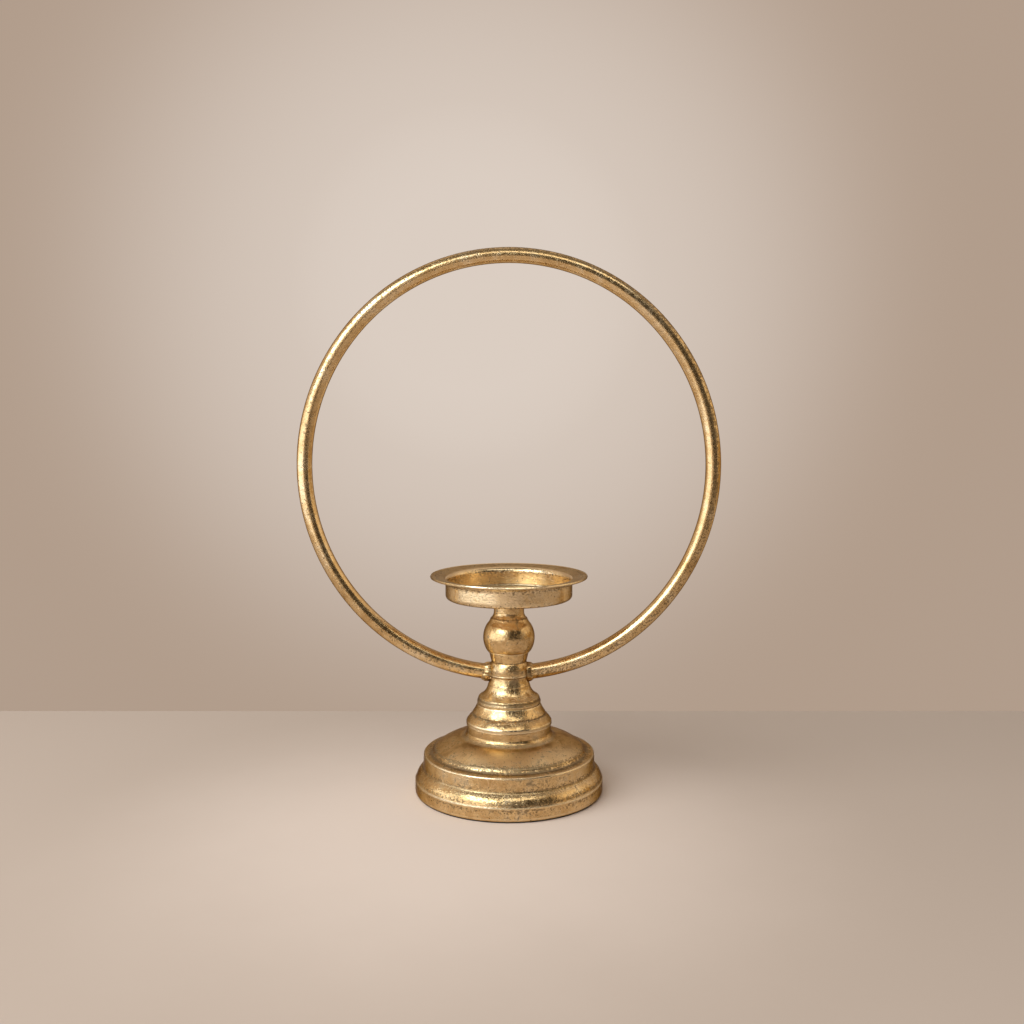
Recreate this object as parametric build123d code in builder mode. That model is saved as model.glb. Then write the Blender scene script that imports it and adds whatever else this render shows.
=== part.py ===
from build123d import *
from math import asin, cos, degrees, sin, sqrt
import os

os.makedirs("parts", exist_ok=True)

# Candle ring: a spun foot, a turned stem, a round tube hoop welded to the stem and a pressed candle pan.
# The hoop stands in the XZ plane. All sizes are in millimetres, with the table at height zero.

# Sheet and fits
sheet = 1.2  # wall of the spun foot, the lower stem and the pan
spigot_gap = 0.15  # radial room of a spigot in its socket
through_gap = 0.4  # radial room of a rod or screw in a plain hole
thread_gap = 0.05  # radial room of a thread in its tapped hole
end_gap = 1.0  # spare depth past the end of a spigot, rod or screw

# Felt ring under the foot
felt_thickness = 0.8
felt_inset = 1.5  # set back from the edge of the foot
felt_width = 5.0

# Foot, from the rim up
foot_radius = 62.0
foot_lip = 7.5  # width of the rim turned in under the foot
rim_round = 1.6
band_height = 9.0
quirk = 0.45  # small step round the top of the band
ovolo_height = 6.8
ovolo_bulge = 0.8
wall_radius = 56.6
wall_cove_width = 0.9  # hollow between the quarter round and the wall
wall_cove_height = 1.8
wall_cove_depth = 0.24
wall_height = 8.2
wall_draft = 0.4
shoulder_width = 5.0
shoulder_height = 0.8
shoulder_bulge = 0.2
cove_width = 2.0
cove_height = 2.5
cove_depth = 0.25
dome_run = 17.0
dome_rise = 7.2
dome_bulge = 1.3
flare_height = 3.8
flare_depth = 0.9
skirt_radius = 27.7
skirt_height = 5.0
crown_spigot = 1.8  # height of the crown that centres the lower stem

# Lower stem, from the crown up
roll_radius = 28.15
stem_lip = 2.6  # width of the foot turned in on the crown
roll_foot = 2.0
roll_width = 4.3
roll_height = 4.9
roll_bulge = 0.3
groove_depth = 0.45
groove_height = 0.5
taper_radius = 24.15
taper_width = 3.3
taper_height = 6.1
taper_sag = 0.3
bead_radius = 20.45
bead_height = 2.8
bead_bulge = 0.5
cap_radius = 20.35
cap_edge_width = 1.1
cap_edge_height = 2.2
cap_edge_bulge = 0.35
cap_height = 7.5
cap_sag = 1.1
neck_radius = 13.8  # where the lower stem meets the hub

# Hub that carries the hoop
hub_height = 15.3
hub_spigot_radius = 9.0
hub_spigot = 3.0
waist_radius = 12.4
waist_height = 5.8
waist_sag = 0.3
lip_radius = 13.3
lip_step = 0.7
lip_height = 0.9
collar_radius = 12.9
collar_bulge = 0.75
hub_top_radius = 11.5
hub_socket = 3.5

# Upper stem, from the hub up
stem_spigot_radius = 7.2
stem_spigot = 2.5
stem_flare = 13.0
stem_flare_height = 6.3
ring_bead_radius = 13.4
ring_bead_height = 1.1
ring_bead_bulge = 0.3
ball_foot_radius = 14.4
ball_height = 17.6
ball_bulge = 2.55
ball_top_radius = 14.3
ridge_radius = 11.9  # small edge above the hollow over the ball
ridge_cove_height = 4.0
ridge_cove_depth = 0.25
throat_radius = 11.5
throat_height = 3.4
throat_sag = 0.2
post_radius = 9.9
post_height = 9.5

# Candle pan
pan_radius = 40.2  # inside the wall, for a pillar candle of 80 mm
pan_corner = 1.3
pan_wall = 9.5
pan_bend_width = 3.0
pan_bend_height = 3.5
pan_bend_bulge = 0.85
flange_width = 7.15
flange_rise = 1.1
curl_radius = 0.85

# Hoop of round tube
hoop_half_width = 132.0  # to the centre line of the tube
hoop_half_height = 134.9
tube_radius = 5.0
tube_wall = 1.0
hoop_seat = 7.5  # low point of the centre line above the foot of the hub

# Weld dabs round each end of the hoop
dab_count = 11
dab_radius = 2.2
dab_sink = 0.9

# Fasteners
rod_radius = 4.0
rod_engagement = 16.0
rod_tail = 4.0
rod_chamfer = 0.8
washer_radius = 12.0
washer_thickness = 2.0
spring_radius = 7.4
spring_thickness = 2.0
spring_split = 1.8
nut_flats = 13.0
nut_height = 6.5
nut_bevel = 0.9
screw_radius = 3.0
screw_length = 16.0
screw_head_radius = 6.0
screw_head_sink = 0.1
screw_slot = 1.4
screw_slot_depth = 1.3

# Heights of the foot
band_top = felt_thickness + band_height
ovolo_top = band_top + ovolo_height
wall_foot = ovolo_top + wall_cove_height
wall_top = wall_foot + wall_height
shoulder_top = wall_top + shoulder_height
dome_foot = shoulder_top + cove_height
dome_top = dome_foot + dome_rise
skirt_foot = dome_top + flare_height
skirt_top = skirt_foot + skirt_height
crown_top = skirt_top + crown_spigot

# Radii of the foot
shoulder_radius = wall_radius - wall_draft - shoulder_width
dome_radius = shoulder_radius - cove_width
spigot_radius = roll_radius - stem_lip - spigot_gap
rod_hole = rod_radius + through_gap

# Heights of the stem
roll_top = skirt_top + roll_foot + roll_height
taper_foot = roll_top + groove_height
bead_foot = taper_foot + taper_height
cap_foot = bead_foot + bead_height
cap_edge = cap_foot + cap_edge_height
hub_foot = cap_edge + cap_height
waist_top = hub_foot + waist_height
lip_top = waist_top + lip_step + lip_height
hub_top = hub_foot + hub_height
bead_low = hub_top + stem_flare_height
ball_foot = bead_low + ring_bead_height
ball_top = ball_foot + ball_height
throat_foot = ball_top + ridge_cove_height
post_foot = throat_foot + throat_height
post_top = post_foot + post_height
floor = post_top + sheet
tap_hole = rod_radius + thread_gap

# Screw seat pressed into the pan floor, a cone of 90 degrees
dimple_radius = screw_head_radius + screw_head_sink
screw_hole = screw_radius + through_gap
dimple_depth = dimple_radius - screw_hole
screw_top = floor - screw_head_sink
screw_end = screw_top - screw_length

# Oval hoop of four tangent arcs that meet at 45 degrees
arc_shift = (hoop_half_height - hoop_half_width) / (2 - sqrt(2))
side_arc = hoop_half_width + arc_shift
end_arc = hoop_half_height - arc_shift
hoop_centre = hub_foot + hoop_seat + hoop_half_height
inlet_angle = degrees(asin(rod_hole / end_arc))
weld_angle = asin(lip_radius / end_arc)

# Felt ring
with BuildPart() as base_felt:
    with BuildSketch():
        Circle(foot_radius - felt_inset)
        Circle(foot_radius - felt_inset - felt_width, mode=Mode.SUBTRACT)
    extrude(amount=felt_thickness)
base_felt.part.label = "base_felt"
export_step(base_felt.part, "parts/base_felt.step")

# Foot: one skin from the turned-in lip over the band, wall and dome to the crown
with BuildPart() as base_shell:
    with BuildSketch(Plane.XZ):
        with BuildLine():
            rim = FilletPolyline(
                (foot_radius - foot_lip, felt_thickness),
                (foot_radius, felt_thickness),
                (foot_radius, band_top),
                radius=rim_round,
            )
            step = Line(rim @ 1, (foot_radius - quirk, band_top))
            ovolo = SagittaArc(step @ 1, (wall_radius + wall_cove_width, ovolo_top), -ovolo_bulge)
            hollow = SagittaArc(ovolo @ 1, (wall_radius, wall_foot), wall_cove_depth)
            wall = Line(hollow @ 1, (wall_radius - wall_draft, wall_top))
            shoulder = SagittaArc(wall @ 1, (shoulder_radius, shoulder_top), -shoulder_bulge)
            cove = SagittaArc(shoulder @ 1, (dome_radius, dome_foot), cove_depth)
            dome = SagittaArc(cove @ 1, (dome_radius - dome_run, dome_top), -dome_bulge)
            flare = SagittaArc(dome @ 1, (skirt_radius, skirt_foot), flare_depth)
            Polyline(
                flare @ 1,
                (skirt_radius, skirt_top),
                (spigot_radius, skirt_top),
                (spigot_radius, crown_top),
                (rod_hole, crown_top),
            )
            offset(amount=sheet, side=Side.LEFT)
        make_face()
    revolve(axis=Axis.Z)
base_shell.part.label = "base_shell"
export_step(base_shell.part, "parts/base_shell.step")

# Lower stem: a stepped skin that rests on the crown and closes in to the hub
with BuildPart() as lower_stem:
    with BuildSketch(Plane.XZ):
        with BuildLine():
            rest = Polyline(
                (roll_radius - stem_lip, skirt_top),
                (roll_radius, skirt_top),
                (roll_radius, skirt_top + roll_foot),
            )
            roll = SagittaArc(rest @ 1, (roll_radius - roll_width, roll_top), -roll_bulge)
            notch = Polyline(
                roll @ 1,
                (taper_radius - groove_depth, roll_top),
                (taper_radius - groove_depth, taper_foot),
                (taper_radius, taper_foot),
            )
            taper = SagittaArc(notch @ 1, (taper_radius - taper_width, bead_foot), taper_sag)
            bead_step = Line(taper @ 1, (bead_radius, bead_foot))
            bead = SagittaArc(bead_step @ 1, (bead_radius, cap_foot), -bead_bulge)
            cap_step = Line(bead @ 1, (cap_radius, cap_foot))
            edge = SagittaArc(cap_step @ 1, (cap_radius - cap_edge_width, cap_edge), -cap_edge_bulge)
            cap = SagittaArc(edge @ 1, (neck_radius, hub_foot), cap_sag)
            Line(cap @ 1, (hub_spigot_radius + spigot_gap, hub_foot))
            offset(amount=sheet, side=Side.LEFT)
        make_face()
    revolve(axis=Axis.Z)
lower_stem.part.label = "lower_stem"
export_step(lower_stem.part, "parts/lower_stem.step")

# Hub outline before it is bored
with BuildPart() as hub_blank:
    with BuildSketch(Plane.XZ):
        with BuildLine():
            foot = Line((0, hub_foot), (neck_radius, hub_foot))
            waist = SagittaArc(foot @ 1, (waist_radius, waist_top), waist_sag)
            lip = Polyline(
                waist @ 1,
                (lip_radius, waist_top + lip_step),
                (lip_radius, lip_top),
                (collar_radius, lip_top),
            )
            collar = SagittaArc(lip @ 1, (hub_top_radius, hub_top), -collar_bulge)
            Polyline(collar @ 1, (0, hub_top), (0, hub_foot))
        make_face()
    revolve(axis=Axis.Z)

# Hub: spigot below, socket above and a plain hole for the tie rod
with BuildPart() as ring_hub:
    add(hub_blank.part)
    with BuildSketch(Plane.XY.offset(hub_foot)):
        Circle(hub_spigot_radius)
    extrude(amount=-hub_spigot)
    with Locations((0, 0, hub_top)):
        CounterBoreHole(rod_hole, stem_spigot_radius + spigot_gap, hub_socket)
ring_hub.part.label = "ring_hub"
export_step(ring_hub.part, "parts/ring_hub.step")

# Solid hoop, from inside one side of the hub round to the other
with BuildPart() as hoop_core:
    with BuildLine(Plane.XZ) as hoop_path:
        CenterArc((0, hoop_centre - arc_shift), end_arc, -90 + inlet_angle, 45 - inlet_angle)
        CenterArc((-arc_shift, hoop_centre), side_arc, -45, 90)
        CenterArc((0, hoop_centre + arc_shift), end_arc, 45, 90)
        CenterArc((arc_shift, hoop_centre), side_arc, 135, 90)
        CenterArc((0, hoop_centre - arc_shift), end_arc, 225, 45 - inlet_angle)
    with BuildSketch(Plane(hoop_path.line @ 0, z_dir=hoop_path.line % 0)):
        Circle(tube_radius)
    sweep()

# Hoop tube: hollow, with both ends coped to the hub
with BuildPart() as ring_tube:
    add(hoop_core.part)
    with BuildSketch(Plane(hoop_path.line @ 0, z_dir=hoop_path.line % 0)):
        Circle(tube_radius - tube_wall)
    sweep(path=hoop_path.line, mode=Mode.SUBTRACT)
    add(hub_blank.part, mode=Mode.SUBTRACT)
ring_tube.part.label = "ring_tube"
export_step(ring_tube.part, "parts/ring_tube.step")

# Weld beads: a ring of dabs round the tube where it meets the hub, on both sides
weld_spot = Vector(end_arc * sin(weld_angle), 0, hoop_centre - arc_shift - end_arc * cos(weld_angle))
weld_run = Vector(cos(weld_angle), 0, sin(weld_angle))
with BuildPart() as ring_welds:
    with Locations(Plane(weld_spot, z_dir=weld_run)):
        with PolarLocations(tube_radius - dab_sink, dab_count):
            Sphere(dab_radius)
    add(hub_blank.part, mode=Mode.SUBTRACT)
    add(hoop_core.part, mode=Mode.SUBTRACT)
    mirror(about=Plane.YZ)
ring_welds.part.label = "ring_welds"
export_step(ring_welds.part, "parts/ring_welds.step")

# Upper stem: turned ball and post, tapped at both ends
with BuildPart() as upper_stem:
    with BuildSketch(Plane.XZ):
        with BuildLine():
            tail = Polyline(
                (0, hub_top - stem_spigot),
                (stem_spigot_radius, hub_top - stem_spigot),
                (stem_spigot_radius, hub_top),
                (hub_top_radius, hub_top),
                (stem_flare, bead_low),
                (ring_bead_radius, bead_low),
            )
            ring_bead = SagittaArc(tail @ 1, (ring_bead_radius, ball_foot), -ring_bead_bulge)
            ball_start = Line(ring_bead @ 1, (ball_foot_radius, ball_foot))
            ball = SagittaArc(ball_start @ 1, (ball_top_radius, ball_top), -ball_bulge)
            ridge_cove = SagittaArc(ball @ 1, (ridge_radius, throat_foot), ridge_cove_depth)
            ridge = Line(ridge_cove @ 1, (throat_radius, throat_foot))
            throat = SagittaArc(ridge @ 1, (post_radius, post_foot), throat_sag)
            Polyline(throat @ 1, (post_radius, post_top), (0, post_top), (0, hub_top - stem_spigot))
        make_face()
    revolve(axis=Axis.Z)
    with BuildSketch(Plane.XY.offset(hub_top - stem_spigot)):
        Circle(tap_hole)
    extrude(amount=stem_spigot + rod_engagement + end_gap, mode=Mode.SUBTRACT)
    with Locations((0, 0, post_top)):
        CounterSinkHole(
            screw_radius + thread_gap,
            dimple_radius + sheet * (sqrt(2) - 1) + spigot_gap,
            depth=post_top - screw_end + end_gap,
            counter_sink_angle=90,
        )
upper_stem.part.label = "upper_stem"
export_step(upper_stem.part, "parts/upper_stem.step")

# Candle pan: dimpled floor, wall and flange with a curled edge
with BuildPart() as candle_pan:
    with BuildSketch(Plane.XZ):
        with BuildLine():
            dish = FilletPolyline(
                (dimple_radius, floor),
                (pan_radius, floor),
                (pan_radius, floor + pan_wall),
                radius=pan_corner,
            )
            Line((screw_hole, floor - dimple_depth), dish @ 0)
            bend = SagittaArc(
                dish @ 1,
                (pan_radius + pan_bend_width, floor + pan_wall + pan_bend_height),
                pan_bend_bulge,
            )
            flange = Line(bend @ 1, bend @ 1 + (flange_width, flange_rise))
            offset(amount=sheet, side=Side.RIGHT)
        make_face()
        flange_normal = Vector(flange_rise, -flange_width).normalized()
        with Locations(flange @ 1 + flange_normal * (sheet / 2)):
            Circle(curl_radius)
    revolve(axis=Axis.Z)
candle_pan.part.label = "candle_pan"
export_step(candle_pan.part, "parts/candle_pan.step")

# Countersunk screw that holds the pan on the post
with BuildPart() as pan_screw:
    with BuildSketch(Plane.XZ):
        with BuildLine():
            Polyline(
                (0, screw_top),
                (screw_head_radius, screw_top),
                (screw_radius, screw_top - screw_head_radius + screw_radius),
                (screw_radius, screw_end),
                (0, screw_end),
                (0, screw_top),
            )
        make_face()
    revolve(axis=Axis.Z)
    with BuildSketch(Plane.XY.offset(screw_top)):
        Rectangle(2 * screw_head_radius, screw_slot)
    extrude(amount=-screw_slot_depth, mode=Mode.SUBTRACT)
pan_screw.part.label = "pan_screw"
export_step(pan_screw.part, "parts/pan_screw.step")

# Washer, spring washer and nut under the crown, and the rod that they draw down
washer_top = crown_top - sheet
spring_top = washer_top - washer_thickness
nut_top = spring_top - spring_thickness
rod_foot = nut_top - nut_height - rod_tail

with BuildPart() as base_washer:
    with BuildSketch(Plane.XY.offset(washer_top)):
        Circle(washer_radius)
        Circle(rod_hole, mode=Mode.SUBTRACT)
    extrude(amount=-washer_thickness)
base_washer.part.label = "base_washer"
export_step(base_washer.part, "parts/base_washer.step")

with BuildPart() as spring_washer:
    with BuildSketch(Plane.XY.offset(spring_top)):
        Circle(spring_radius)
        Circle(rod_hole, mode=Mode.SUBTRACT)
        with Locations((spring_radius, 0)):
            Rectangle(2 * spring_radius, spring_split, mode=Mode.SUBTRACT)
    extrude(amount=-spring_thickness)
spring_washer.part.label = "spring_washer"
export_step(spring_washer.part, "parts/spring_washer.step")

with BuildPart() as base_nut:
    with BuildSketch(Plane.XY.offset(nut_top)):
        RegularPolygon(nut_flats / 2, 6, major_radius=False)
    extrude(amount=-nut_height)
    with BuildSketch(Plane.XZ):
        with BuildLine():
            Polyline(
                (0, nut_top - nut_height),
                (nut_flats / 2, nut_top - nut_height),
                (nut_flats / 2 + 2 * nut_bevel, nut_top - nut_height + nut_bevel),
                (nut_flats / 2 + 2 * nut_bevel, nut_top),
                (0, nut_top),
                (0, nut_top - nut_height),
            )
        make_face()
    revolve(axis=Axis.Z, mode=Mode.INTERSECT)
    with Locations((0, 0, nut_top)):
        Hole(tap_hole)
base_nut.part.label = "base_nut"
export_step(base_nut.part, "parts/base_nut.step")

with BuildPart() as tie_rod:
    with BuildSketch(Plane.XY.offset(rod_foot)):
        Circle(rod_radius)
    extrude(amount=hub_top + rod_engagement - rod_foot)
    chamfer(tie_rod.edges().filter_by(GeomType.CIRCLE), rod_chamfer)
tie_rod.part.label = "tie_rod"
export_step(tie_rod.part, "parts/tie_rod.step")
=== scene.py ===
"""Candle ring: spun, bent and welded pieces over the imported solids, in antique gold leaf."""

import math

import bmesh
import bpy
from bpy.props import FloatProperty, FloatVectorProperty, IntProperty, PointerProperty
from mathutils import Matrix, Vector, noise


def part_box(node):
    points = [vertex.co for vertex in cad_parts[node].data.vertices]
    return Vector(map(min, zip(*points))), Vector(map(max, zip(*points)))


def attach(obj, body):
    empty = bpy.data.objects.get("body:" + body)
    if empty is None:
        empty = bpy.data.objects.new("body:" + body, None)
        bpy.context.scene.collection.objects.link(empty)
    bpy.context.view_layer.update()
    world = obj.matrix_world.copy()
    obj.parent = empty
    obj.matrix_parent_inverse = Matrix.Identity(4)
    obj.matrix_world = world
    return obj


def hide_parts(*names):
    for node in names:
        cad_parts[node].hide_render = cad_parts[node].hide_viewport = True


bl_info = {
    "name": "Candle Ring",
    "version": (1, 0, 0),
    "blender": (4, 5, 0),
    "location": "3D View > Sidebar > Candle Ring",
    "description": "Builds a gilt candle holder with a tall hoop over its packed solids",
    "category": "Add Mesh",
}

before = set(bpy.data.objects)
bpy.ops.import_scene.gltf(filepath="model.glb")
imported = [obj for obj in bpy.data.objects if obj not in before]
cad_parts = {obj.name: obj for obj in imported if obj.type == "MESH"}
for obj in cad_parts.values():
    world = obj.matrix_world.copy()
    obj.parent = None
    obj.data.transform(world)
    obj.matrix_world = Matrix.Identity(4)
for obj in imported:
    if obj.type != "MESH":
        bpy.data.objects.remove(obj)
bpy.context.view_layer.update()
MM = 0.001

FELT_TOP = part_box("base_felt")[1].z
SKIRT_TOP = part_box("lower_stem")[0].z
HUB_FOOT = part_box("lower_stem")[1].z
HUB_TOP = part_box("ring_hub")[1].z
POST_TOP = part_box("upper_stem")[1].z
HOOP_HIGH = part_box("ring_tube")[1]
ROD_LOW, ROD_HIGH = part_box("tie_rod")

SHARP_ANGLE = math.radians(45)  # edges bent further than this stay sharp
ROOM_WAY = (0.24, -0.97, 0.0)  # out into the room; up-facing faces this way get painted light, faces looking straight this way a little painted dark reflection


def size(name, millimetres, description):
    """A length that a user may change, given in millimetres."""
    return FloatProperty(
        name=name,
        description=description,
        default=millimetres * MM,
        min=0.0,
        precision=5,
        subtype="DISTANCE",
        unit="LENGTH",
    )


def colour(name, red, green, blue, description):
    """A colour that a user may change."""
    return FloatVectorProperty(
        name=name,
        description=description,
        default=(red, green, blue, 1.0),
        size=4,
        min=0.0,
        max=1.0,
        subtype="COLOR",
    )


class CandleRingFoot(bpy.types.PropertyGroup):
    """Sizes of the spun foot, from the rim up, and of the felt ring under it."""

    radius: size("Radius", min(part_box("base_shell")[1].xy) / MM, "Outside of the band")
    sheet: size("Sheet", 1.2, "Wall of the spun skins")
    lip: size("Lip", 7.5, "Width of the rim turned in underneath")
    rim_round: size("Rim round", 1.6, "Rounding under the band")
    band_height: size("Band height", 9.0, "Height of the straight band")
    quirk: size("Quirk", 0.45, "Small step on top of the band")
    ovolo_height: size("Ovolo height", 6.8, "Height of the quarter round")
    ovolo_bulge: size("Ovolo bulge", 0.8, "How far the quarter round swells")
    wall_radius: size("Wall radius", 56.6, "Foot of the upper wall")
    wall_cove_width: size("Wall cove width", 0.9, "How far the hollow under the wall goes in")
    wall_cove_height: size("Wall cove height", 1.8, "Height of that hollow")
    wall_cove_depth: size("Wall cove depth", 0.24, "How hollow it is")
    wall_height: size("Wall height", 8.2, "Height of the upper wall")
    wall_draft: size("Wall draft", 0.4, "How far the wall leans in")
    shoulder_width: size("Shoulder width", 5.0, "How far the shoulder goes in")
    shoulder_height: size("Shoulder height", 0.8, "Height of the shoulder")
    shoulder_bulge: size("Shoulder bulge", 0.2, "How far the shoulder swells")
    cove_width: size("Cove width", 2.0, "How far the cove goes in")
    cove_height: size("Cove height", 2.5, "Height of the cove")
    cove_depth: size("Cove depth", 0.25, "How hollow the cove is")
    dome_run: size("Dome run", 17.0, "How far the dome goes in")
    dome_rise: size("Dome rise", 7.2, "Height of the dome")
    dome_bulge: size("Dome bulge", 1.3, "How far the dome swells")
    flare_height: size("Flare height", 3.8, "Height of the flare")
    flare_depth: size("Flare depth", 0.9, "How hollow the flare is")
    skirt_radius: size("Skirt radius", 27.7, "Step that carries the stem")
    skirt_height: size("Skirt height", 5.0, "Height of that step")
    crown_radius: size("Crown radius", 25.4, "Spigot that centres the stem")
    crown_height: size("Crown height", 1.8, "Height of that spigot")
    rod_hole: size("Rod hole", 4.4, "Radius of the hole for the tie rod")
    felt_inset: size("Felt inset", 1.5, "Felt edge set back from the band")
    felt_width: size("Felt width", 5.0, "Width of the felt ring")
    felt_round: size("Felt round", 0.3, "Rounding under the felt ring")


class CandleRingStem(bpy.types.PropertyGroup):
    """Sizes of the lower stem, the hub and the upper stem, from the skirt up."""

    roll_radius: size("Roll radius", 28.15, "Foot of the lower stem")
    foot_lip: size("Foot lip", 2.6, "Width of the foot turned in on the crown")
    roll_foot: size("Roll foot", 2.0, "Straight edge under the roll")
    roll_width: size("Roll width", 4.3, "How far the roll goes in")
    roll_height: size("Roll height", 4.9, "Height of the roll")
    roll_bulge: size("Roll bulge", 0.3, "How far the roll swells")
    groove_depth: size("Groove depth", 0.45, "Groove under the taper")
    groove_height: size("Groove height", 0.5, "Height of that groove")
    taper_radius: size("Taper radius", 24.15, "Foot of the taper")
    taper_width: size("Taper width", 3.3, "How far the taper goes in")
    taper_height: size("Taper height", 6.1, "Height of the taper")
    taper_sag: size("Taper sag", 0.3, "How hollow the taper is")
    bead_radius: size("Bead radius", 20.45, "Bead under the cap")
    bead_height: size("Bead height", 2.8, "Height of that bead")
    bead_bulge: size("Bead bulge", 0.5, "How far that bead swells")
    cap_radius: size("Cap radius", 20.35, "Foot of the cap")
    cap_edge_width: size("Cap edge width", 1.1, "How far the cap's edge goes in")
    cap_edge_height: size("Cap edge height", 2.2, "Height of the cap's edge")
    cap_edge_bulge: size("Cap edge bulge", 0.35, "How far the cap's edge swells")
    cap_sag: size("Cap sag", 1.1, "How hollow the cap is")
    neck_radius: size("Neck radius", 13.8, "Where the cap meets the hub")
    spigot_radius: size("Spigot radius", 9.0, "Spigot under the hub")
    spigot_height: size("Spigot height", 3.0, "Height of that spigot")
    waist_radius: size("Waist radius", 12.4, "Thinnest part of the hub")
    waist_height: size("Waist height", 5.8, "Height of the hub's foot")
    waist_sag: size("Waist sag", 0.3, "How hollow the hub's foot is")
    lip_radius: size("Hub lip radius", 13.3, "Lip under the collar")
    lip_step: size("Hub lip step", 0.7, "Slope under that lip")
    lip_height: size("Hub lip height", 0.9, "Height of that lip")
    collar_radius: size("Collar radius", 12.9, "Foot of the collar")
    collar_bulge: size("Collar bulge", 0.75, "How far the collar swells")
    hub_top_radius: size("Hub top radius", 11.5, "Where hub and upper stem meet")
    flare_radius: size("Flare radius", 13.0, "Top of the flare over the hub")
    flare_height: size("Stem flare height", 6.3, "Height of that flare")
    ring_bead_radius: size("Ring bead radius", 13.4, "Bead under the ball")
    ring_bead_height: size("Ring bead height", 1.1, "Height of that bead")
    ring_bead_bulge: size("Ring bead bulge", 0.3, "How far that bead swells")
    ball_foot_radius: size("Ball foot radius", 14.4, "Foot of the ball")
    ball_height: size("Ball height", 17.6, "Height of the ball")
    ball_bulge: size("Ball bulge", 2.55, "How far the ball swells")
    ball_top_radius: size("Ball top radius", 14.3, "Top of the ball")
    ridge_radius: size("Ridge radius", 11.9, "Small edge above the hollow over the ball")
    ridge_cove_height: size("Ridge cove height", 4.0, "Height of that hollow")
    ridge_cove_depth: size("Ridge cove depth", 0.25, "How deep that hollow is")
    throat_radius: size("Throat radius", 11.5, "Foot of the throat")
    throat_height: size("Throat height", 3.4, "Height of the throat")
    throat_sag: size("Throat sag", 0.2, "How hollow the throat is")
    post_radius: size("Post radius", 9.9, "Post under the pan")
    tail_radius: size("Tail radius", 7.2, "Spigot under the upper stem")
    tail_height: size("Tail height", 2.5, "Height of that spigot")


class CandleRingPan(bpy.types.PropertyGroup):
    """Sizes of the pressed candle pan."""

    radius: size("Radius", 40.2, "Inside of the wall")
    sheet: size("Sheet", 1.2, "Wall of the pan")
    corner: size("Corner", 1.3, "Rounding between floor and wall")
    wall: size("Wall", 9.5, "Height of the straight wall")
    bend_width: size("Bend width", 3.0, "How far the bend goes out")
    bend_height: size("Bend height", 3.5, "Height of the bend")
    bend_bulge: size("Bend bulge", 0.85, "How far the bend bows")
    flange_width: size("Flange width", 7.15, "Width of the flange")
    flange_rise: size("Flange rise", 1.1, "How far the flange rises")
    curl: size("Curl", 0.85, "Radius of the curled edge")
    dimple_radius: size("Dimple radius", 6.1, "Screw seat in the floor")
    dimple_depth: size("Dimple depth", 2.7, "Depth of that seat")


class CandleRingHoop(bpy.types.PropertyGroup):
    """Sizes of the hoop and of its weld beads."""

    tube_radius: size("Tube radius", HOOP_HIGH.y / MM, "Radius of the round tube")
    seat: size("Seat", 7.5, "Lowest point of the centre line above the hub's foot")
    inlet: size("Inlet", 9.0, "Where the tube ends inside the hub")
    bead: size("Weld bead", 2.4, "Radius of a weld bead")
    bead_sink: size("Bead sink", 1.2, "Weld bead's centre below the face of the tube")
    bead_lumps: size("Bead lumps", 0.9, "Unevenness of the weld beads")
    bead_pits: size("Bead pits", 1.6, "Depth of the pits in the weld beads")


class CandleRingFixings(bpy.types.PropertyGroup):
    """Sizes of the threaded tie rod."""

    thread_pitch: size("Thread pitch", 1.25, "Pitch of the rod's thread")
    thread_depth: size("Thread depth", 0.7, "Depth of the rod's thread")


class CandleRingFinish(bpy.types.PropertyGroup):
    """Colours of the gold leaf, its patina, the painted light and shade on it, the fixings and the
    felt.
    """

    leaf_deep: colour("Deep leaf", 0.565, 0.367, 0.160, "Gold leaf where it lies thick")
    leaf: colour("Leaf", 0.745, 0.525, 0.260, "Gold leaf")
    leaf_pale: colour("Pale leaf", 0.85, 0.665, 0.41, "Gold leaf where it is thin")
    # Rubbed edges are real wear; the same colour is also painted as light on up-facing faces
    # towards the room.
    rubbed_and_painted_light: colour("Rubbed edge", 0.90, 0.75, 0.50, "Edges rubbed down to a silvery tone")
    # Glaze colour, also painted as shade on faces that look up.
    glaze_and_top_shade: colour("Glaze", 0.29, 0.19, 0.10, "Brown glaze left on faces that look up")
    # Patina colour of the grooves and pits, also used for painted shade and painted dark
    # reflection.
    patina_and_shade: colour("Patina", 0.10, 0.065, 0.034, "Brown wash in the grooves and pits")
    varnish: colour("Varnish", 0.20, 0.13, 0.07, "Varnish on the leaf, seen edge on")
    # A lighter copy of the varnish, painted light inside the pan.
    clear_varnish: colour("Clear varnish", 1.0, 0.96, 0.86, "Varnish inside the pan")
    zinc: colour("Zinc", 0.56, 0.55, 0.52, "Plated fixings")
    zinc_dull: colour("Dull zinc", 0.33, 0.32, 0.29, "Plated fixings where they have dulled")
    felt: colour("Felt", 0.018, 0.016, 0.014, "Felt ring")
    felt_pale: colour("Felt fibres", 0.06, 0.055, 0.05, "Loose fibres of the felt")


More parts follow.
